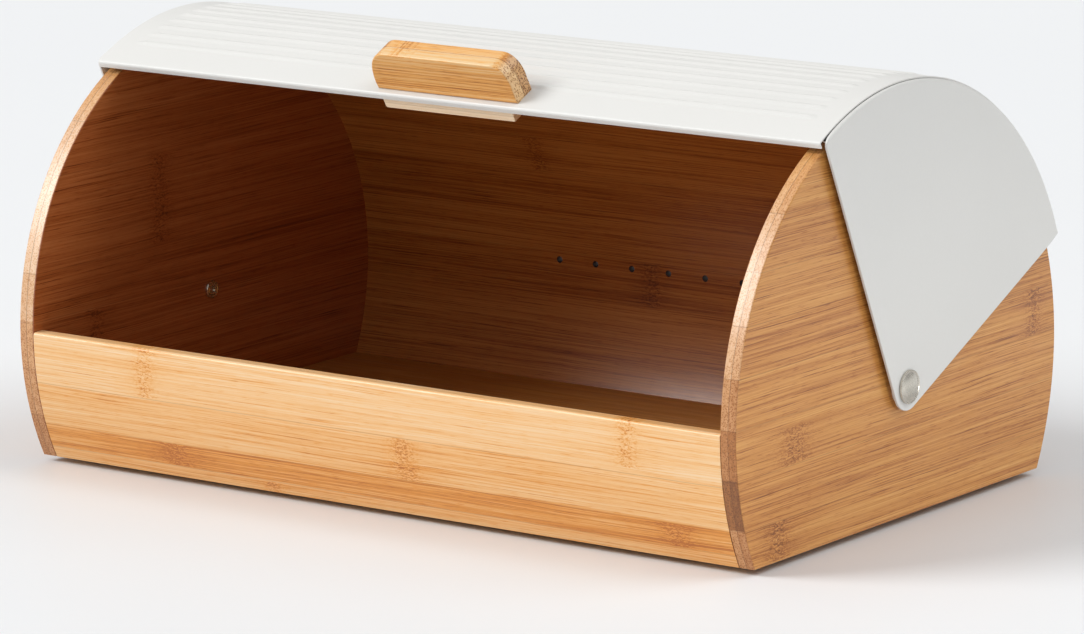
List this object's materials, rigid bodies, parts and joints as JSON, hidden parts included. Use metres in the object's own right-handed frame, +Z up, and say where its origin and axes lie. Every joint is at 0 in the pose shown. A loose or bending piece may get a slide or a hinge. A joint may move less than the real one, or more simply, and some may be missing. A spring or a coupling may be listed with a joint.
{
  "type": "roll-top bread box",
  "caption": "Bamboo bread box with disc-shaped sides and a ribbed white metal roll-top lid that turns back over the case.",
  "frame": {"origin": "centre of the footprint, on the surface that the feet stand on", "axes": "+X along the case and the pivot axis, -Y out of the mouth at the front, +Z up"},
  "size_m": [0.401, 0.255, 0.2015],
  "materials": {
    "bamboo_side": "satin lacquered bamboo",
    "bamboo_front": "satin lacquered bamboo",
    "bamboo_back": "satin lacquered bamboo",
    "bamboo_base": "satin lacquered bamboo",
    "bamboo_handle": "satin lacquered bamboo",
    "bamboo_batten": "satin lacquered bamboo",
    "dowel_wood": "bare",
    "lid_paint": "satin white powder coat",
    "pivot_nickel": "satin nickel",
    "screw_steel": "zinc plated",
    "spacer_nylon": "natural nylon",
    "foot_rubber": "matte"
  },
  "bodies": {
    "case": {"side_panel_left": "bamboo_side", "side_panel_right": "bamboo_side", "front_panel": "bamboo_front", "back_panel": "bamboo_back", "base_board": "bamboo_base", "front_dowels": "dowel_wood", "back_dowels": "dowel_wood", "base_dowels": "dowel_wood", "foot_front_left": "foot_rubber", "foot_front_right": "foot_rubber", "foot_rear_left": "foot_rubber", "foot_rear_right": "foot_rubber", "foot_screws": "screw_steel", "pivot_screw_left": "pivot_nickel", "pivot_screw_right": "pivot_nickel", "pivot_nut_left": "pivot_nickel", "pivot_nut_right": "pivot_nickel", "pivot_spacer_left": "spacer_nylon", "pivot_spacer_right": "spacer_nylon"},
    "lid": {"lid_shell": "lid_paint", "lid_plate_left": "lid_paint", "lid_plate_right": "lid_paint", "lid_handle": "bamboo_handle", "lid_batten": "bamboo_batten", "handle_screws": "screw_steel"}
  },
  "joints": [
    {"name": "lid_pivot", "type": "hinge", "parent": "case", "child": "lid", "pos_m": [0, 0, 0.0615], "axis": [1, 0, 0], "range_deg": [0, 59.5]}
  ]
}
